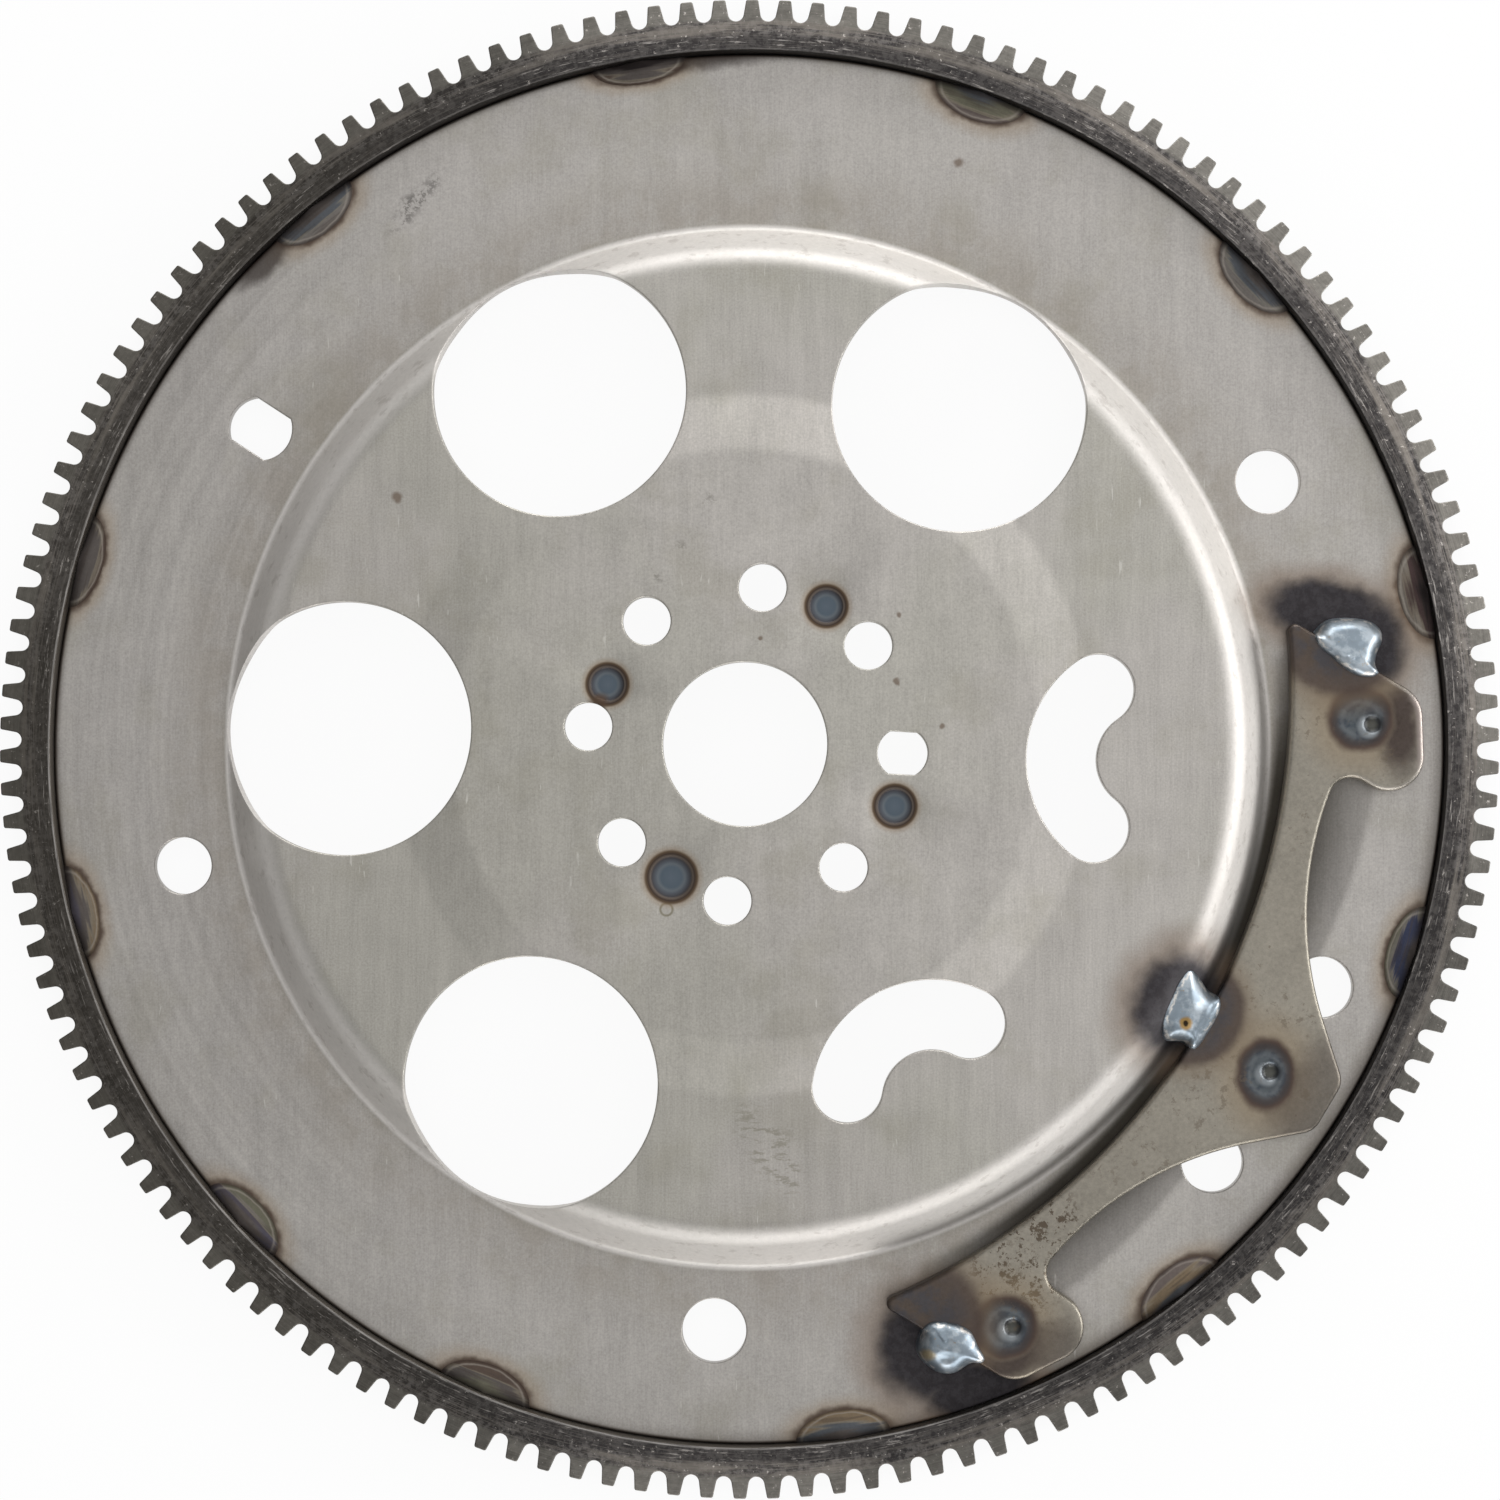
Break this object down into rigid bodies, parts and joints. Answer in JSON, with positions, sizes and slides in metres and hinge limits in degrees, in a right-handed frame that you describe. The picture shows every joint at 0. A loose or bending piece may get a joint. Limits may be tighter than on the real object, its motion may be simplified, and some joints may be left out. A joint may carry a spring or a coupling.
{
  "type": "flexplate",
  "caption": "Round pressed steel drive plate with a domed hub, a toothed starter ring round its rim, bolt holes, round windows, kidney slots and a welded balance weight.",
  "frame": {"origin": "on the crankshaft axis, in the plane of the ring gear's back face", "axes": "+Z along the crankshaft axis towards the raised hub pad, +X and +Y across the disc as it is seen from the hub side, with the off-step crankshaft bolt hole near +X"},
  "size_m": [0.3048, 0.3048, 0.019],
  "materials": {
    "pressed_steel": "fine one-way brushed mill finish, dull, with heat tints round the welds",
    "plate_steel": "dull warm grey rolled plate, lightly pitted",
    "hardened_steel": "dark mottled heat-treated scale, turned lighter on the bevel and the teeth",
    "weld_metal": "bright rippled weld metal",
    "burnt_weld_metal": "straw, brown and blue heat-tinted weld metal"
  },
  "bodies": {
    "root": {"flexplate_disc": "pressed_steel", "hub_plate": "plate_steel", "ring_gear": "hardened_steel", "counterweight": "plate_steel", "weight_weld_upper": "weld_metal", "weight_weld_middle": "weld_metal", "weight_weld_lower": "weld_metal", "rim_weld_01": "burnt_weld_metal", "rim_weld_02": "burnt_weld_metal", "rim_weld_03": "burnt_weld_metal", "rim_weld_04": "burnt_weld_metal", "rim_weld_05": "burnt_weld_metal", "rim_weld_06": "burnt_weld_metal", "rim_weld_07": "burnt_weld_metal", "rim_weld_08": "burnt_weld_metal", "rim_weld_09": "burnt_weld_metal", "rim_weld_10": "burnt_weld_metal", "rim_weld_11": "burnt_weld_metal", "rim_weld_12": "burnt_weld_metal"}
  },
  "joints": []
}
